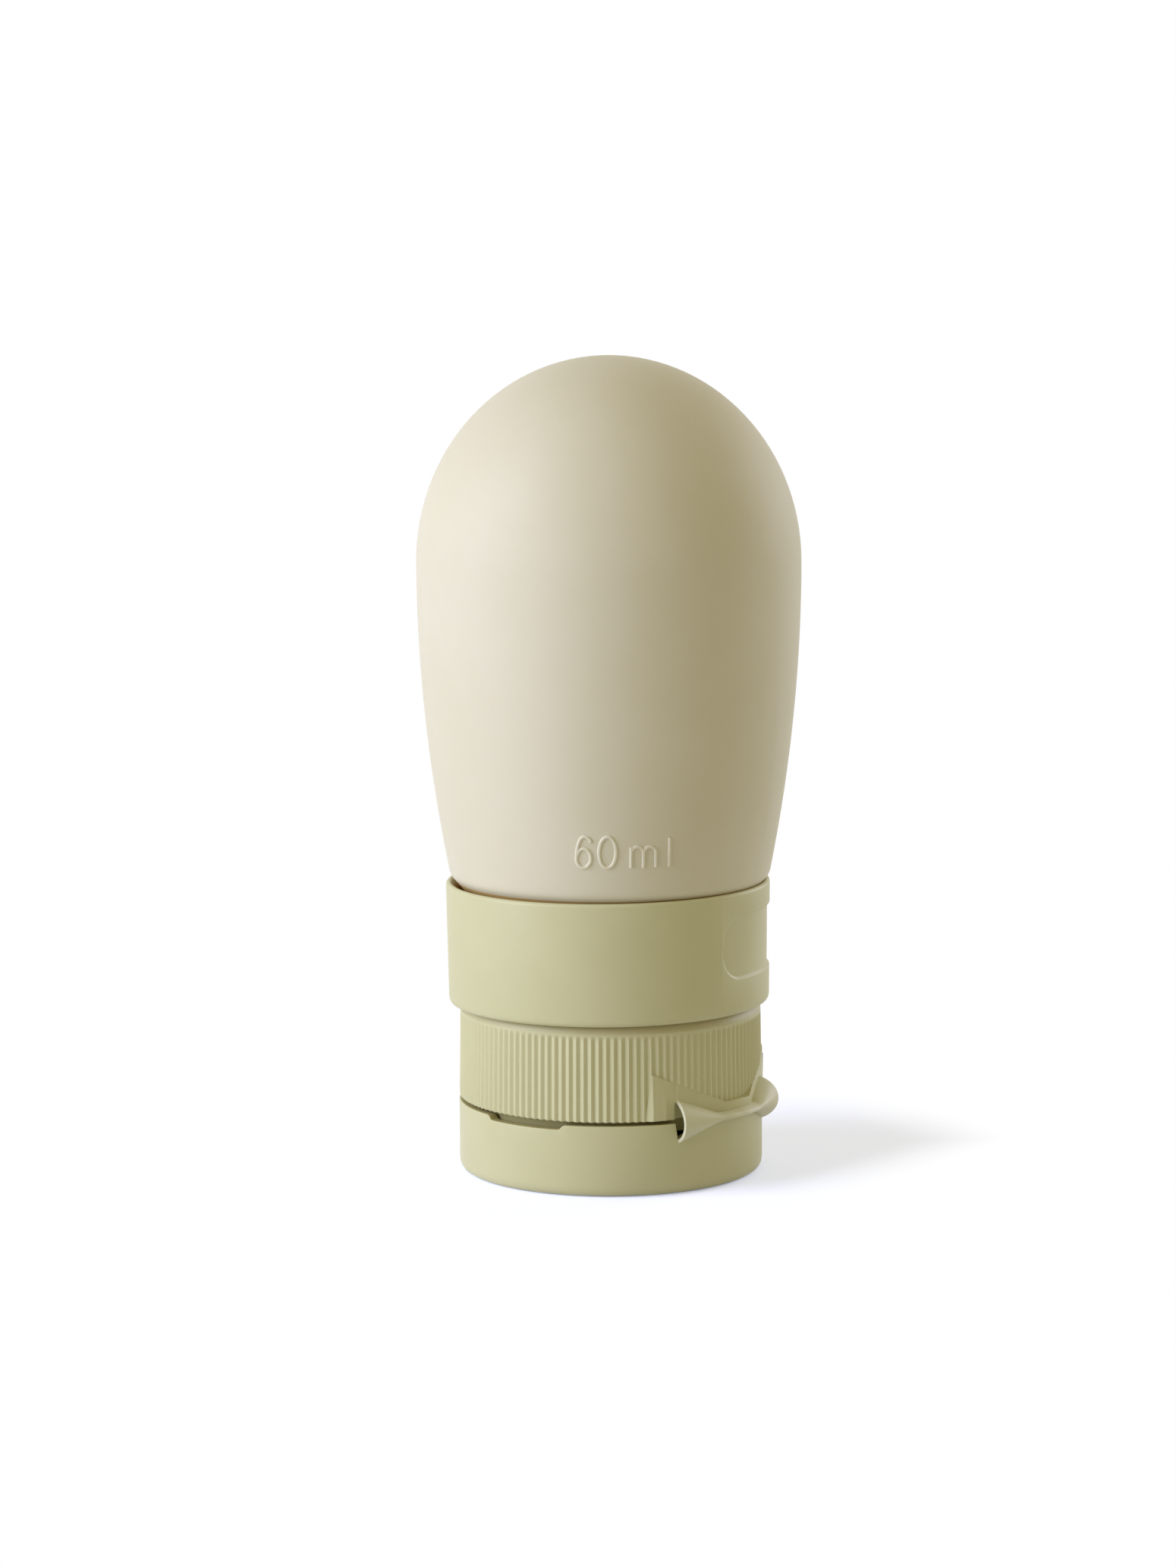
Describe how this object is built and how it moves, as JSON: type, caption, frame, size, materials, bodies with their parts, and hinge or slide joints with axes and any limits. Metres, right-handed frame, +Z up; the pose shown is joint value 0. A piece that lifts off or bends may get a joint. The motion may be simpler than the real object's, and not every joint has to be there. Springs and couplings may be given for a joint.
{
  "type": "travel bottle",
  "caption": "Squeeze travel bottle: domed silicone body, loose label collar, ribbed screw cap with a valve, and a flip lid on a butterfly hinge.",
  "frame": {"origin": "centre of the lid's flat resting face, on the body's axis, with the bottle standing head down on its cap", "axes": "+Z up along the body's axis towards the domed end; -Y is the front, where the capacity mark is"},
  "size_m": [0.045, 0.045, 0.096],
  "materials": {
    "body_silicone": "matte",
    "collar_plastic": "satin",
    "cap_plastic": "satin",
    "sleeve_plastic": "satin",
    "clear_silicone": "matte"
  },
  "bodies": {
    "bottle": {"bottle_body": "body_silicone", "neck_sleeve": "sleeve_plastic"},
    "collar": {"label_collar": "collar_plastic"},
    "seal": {"cap_gasket": "clear_silicone"},
    "cap": {"cap_base": "cap_plastic", "valve": "clear_silicone", "valve_retainer": "sleeve_plastic", "butterfly_hinge": "cap_plastic"},
    "lid": {"flip_lid": "cap_plastic"}
  },
  "joints": [
    {"name": "collar_turn", "type": "hinge", "parent": "bottle", "child": "collar", "pos_m": [-0.0002, 0, 0.0273], "axis": [0, 0, 1], "continuous": true},
    {"name": "cap_lift", "type": "slide", "parent": "bottle", "child": "seal", "axis": [0, 0, -1], "range_m": [0, 0.0053]},
    {"name": "cap_turn", "type": "hinge", "parent": "seal", "child": "cap", "pos_m": [0, 0, 0.0146], "axis": [0, 0, -1], "range_deg": [0, 450]},
    {"name": "lid_flip", "type": "hinge", "parent": "cap", "child": "lid", "pos_m": [0.01448, -0.01215, 0.0086], "axis": [-0.6428, -0.766, 0], "range_deg": [0, 170], "deforming": ["butterfly_hinge"]}
  ],
  "couplings": [
    {"joint": "cap_lift", "follows": "cap_turn", "m_per_rad": 0.00067322}
  ]
}
